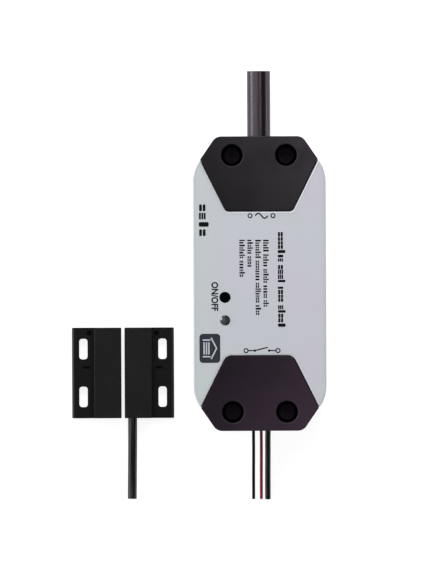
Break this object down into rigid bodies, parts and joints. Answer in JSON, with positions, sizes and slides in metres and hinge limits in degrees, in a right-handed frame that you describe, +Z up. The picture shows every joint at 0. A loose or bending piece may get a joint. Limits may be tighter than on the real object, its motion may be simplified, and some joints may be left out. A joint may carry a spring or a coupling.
{
  "type": "garage door controller",
  "caption": "Two-piece flat casing with screwed black terminal covers, push button, status light and short leads, with a two-part magnetic door sensor beside it.",
  "frame": {"origin": "middle of the controller's flat base face", "axes": "+X across the controller, away from the door sensor; +Y along it, towards the mains lead; +Z up through the labelled face"},
  "size_m": [0.0796, 0.1342, 0.0244],
  "materials": {
    "casing_plastic": "fine satin moulded plastic",
    "label_film": "satin silver printed film",
    "cover_plastic": "fine spark-eroded black plastic",
    "screw_steel": "black oxide",
    "board_laminate": "solder mask",
    "button_plastic": "satin",
    "lens": "clear smoky epoxy",
    "tinned_wire": "tinned",
    "terminal_plastic": "moulded",
    "terminal_steel": "zinc plated",
    "sheath": "smooth flexible black sheath",
    "live_insulation": "smooth",
    "neutral_insulation": "smooth",
    "black_insulation": "smooth",
    "red_insulation": "smooth",
    "copper": "bright copper",
    "relay_plastic": "moulded",
    "relay_iron": "plated",
    "winding": "enamelled copper",
    "contact_metal": "plated",
    "ferrite": "matt",
    "capacitor_sleeve": "sleeved can",
    "component_black": "moulded",
    "fuse_body": "glazed",
    "varistor_blue": "dipped",
    "radio_laminate": "solder mask",
    "shield_steel": "tinned can",
    "sensor_plastic": "fine satin moulded black",
    "potting": "poured resin",
    "reed_glass": "clear",
    "magnet_plating": "nickel"
  },
  "bodies": {
    "controller": {"bottom_shell": "casing_plastic", "top_shell": "casing_plastic", "face_label": "label_film", "input_cover": "cover_plastic", "output_cover": "cover_plastic", "cover_screws": "screw_steel", "case_screws": "screw_steel", "main_board": "board_laminate", "switch_body": "component_black", "status_light": "lens", "status_light_legs": "tinned_wire", "input_terminal_body": "terminal_plastic", "input_terminal_screws": "terminal_steel", "output_terminal_body": "terminal_plastic", "output_terminal_screws": "terminal_steel", "mains_sheath": "sheath", "mains_live_core": "live_insulation", "mains_neutral_core": "neutral_insulation", "mains_conductors": "copper", "relay_wire_black": "black_insulation", "relay_wire_red": "red_insulation", "sensor_pigtail": "sheath", "relay_wire_ends": "copper", "pigtail_cores": "black_insulation", "relay_base": "relay_plastic", "relay_case": "relay_plastic", "relay_yoke": "relay_iron", "relay_core": "relay_iron", "relay_coil": "winding", "relay_fixed_contact": "contact_metal", "transformer_core": "ferrite", "transformer_winding": "winding", "supply_capacitors": "capacitor_sleeve", "rectifier": "component_black", "fuse": "fuse_body", "varistor": "varistor_blue", "radio_board": "radio_laminate", "radio_shield": "shield_steel", "switch_housing": "sensor_plastic", "switch_potting": "potting", "switch_lead": "sheath", "reed_capsule": "reed_glass", "reed_blades": "relay_iron"},
    "button": {"button_cap": "button_plastic", "switch_stem": "component_black"},
    "relay_armature": {"relay_armature": "relay_iron", "relay_contact_blade": "contact_metal"},
    "magnet_unit": {"magnet_housing": "sensor_plastic", "magnet": "magnet_plating", "magnet_potting": "potting"}
  },
  "joints": [
    {"name": "button_press", "type": "slide", "parent": "controller", "child": "button", "axis": [0, 0, -1], "range_m": [0, 0.0004], "stiffness_N_per_m": 3000, "springref_m": -0.0002},
    {"name": "armature_hinge", "type": "hinge", "parent": "controller", "child": "relay_armature", "pos_m": [0.01, -0.0035, 0.01885], "axis": [1, 0, 0], "range_deg": [0, 2.5], "stiffness_Nm_per_rad": 0.02, "springref_deg": -5.16},
    {"name": "magnet_slide", "type": "slide", "parent": "controller", "child": "magnet_unit", "axis": [-1, 0, 0], "range_m": [0, 0.03]}
  ]
}
